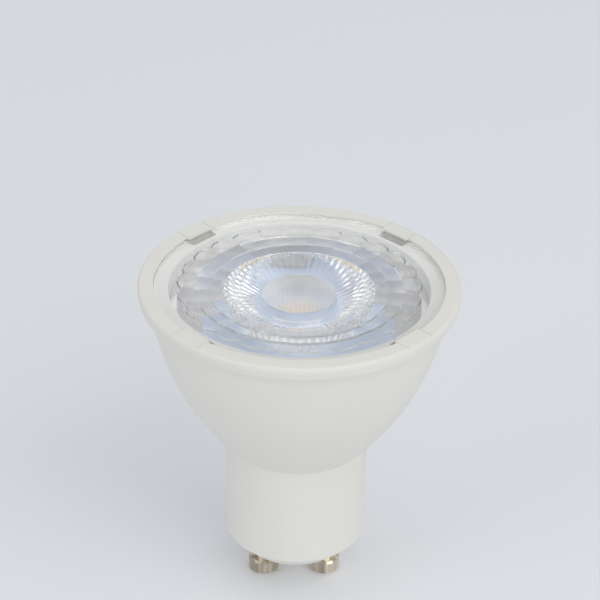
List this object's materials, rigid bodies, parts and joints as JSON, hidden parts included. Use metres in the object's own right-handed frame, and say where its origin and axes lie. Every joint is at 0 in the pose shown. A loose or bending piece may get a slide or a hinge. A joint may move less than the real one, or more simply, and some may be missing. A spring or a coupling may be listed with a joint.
{
  "type": "gu10 spotlight bulb",
  "caption": "Spotlight lamp with a white moulded bell and base, a clear faceted lens held by snap hooks in the rim, an LED board behind it and headed bayonet contact pins.",
  "frame": {"origin": "middle of the base's flat end face, between the two contact pins", "axes": "+Z along the lamp's axis towards the lens, the two pins side by side along X"},
  "size_m": [0.05, 0.05, 0.055],
  "materials": {
    "white_plastic": "matte, moulded",
    "clear_plastic": "clear, polished",
    "aluminium": "pressed, satin",
    "board_white": "satin solder mask",
    "silicone_white": "satin",
    "phosphor": "matte",
    "dark_plastic": "matte",
    "socket_nylon": "moulded, natural grey nylon",
    "tinned_copper": "satin",
    "nickel_plate": "turned, nickel plated",
    "board_green": "satin solder mask",
    "capacitor_sleeve": "shrunk sleeve",
    "ferrite": "matte sintered",
    "copper": "enamelled wire",
    "resistor_coat": "satin lacquer"
  },
  "bodies": {
    "root": {"housing": "white_plastic", "lens": "clear_plastic", "heat_sink_cup": "aluminium", "led_board": "board_white", "led_dam": "silicone_white", "led_phosphor": "phosphor", "led_socket": "socket_nylon", "led_lead_positive": "tinned_copper", "led_lead_negative": "tinned_copper", "contact_pin_left": "nickel_plate", "contact_pin_right": "nickel_plate", "driver_board": "board_green", "input_capacitor": "capacitor_sleeve", "output_capacitor": "capacitor_sleeve", "inductor_core": "ferrite", "inductor_winding": "copper", "bridge_rectifier": "dark_plastic", "driver_ic": "dark_plastic", "freewheel_diode": "dark_plastic", "sense_resistors": "dark_plastic", "fusible_resistor": "resistor_coat", "neutral_lead": "tinned_copper"}
  },
  "joints": []
}
